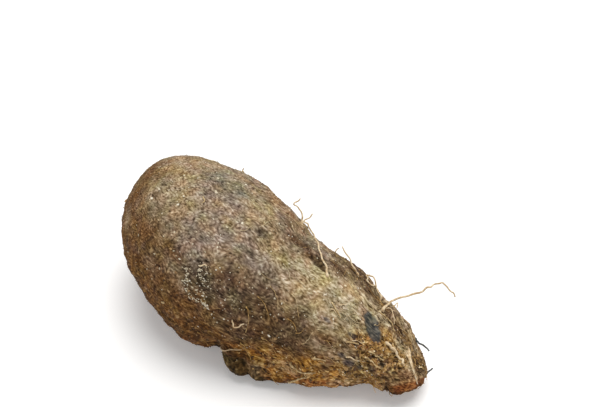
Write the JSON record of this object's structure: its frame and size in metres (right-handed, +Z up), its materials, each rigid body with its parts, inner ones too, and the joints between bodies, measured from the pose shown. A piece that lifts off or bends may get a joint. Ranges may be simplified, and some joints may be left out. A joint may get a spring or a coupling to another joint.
{
  "type": "water yam",
  "caption": "Whole water yam tuber lying on its side: blunt round belly, slim knobbly crown, a small toe lobe below, and fine dry rootlets fused to its corky skin.",
  "frame": {"origin": "middle of the tuber's box at the height of the surface that it rests on", "axes": "+X along the tuber towards the slim crown, -Y towards the side with the toe lobe, +Z up"},
  "size_m": [0.224, 0.1118, 0.1002],
  "materials": {
    "corky_skin": "dry, matt, rough bark-like skin"
  },
  "bodies": {
    "root": {"tuber": "corky_skin"}
  },
  "joints": []
}
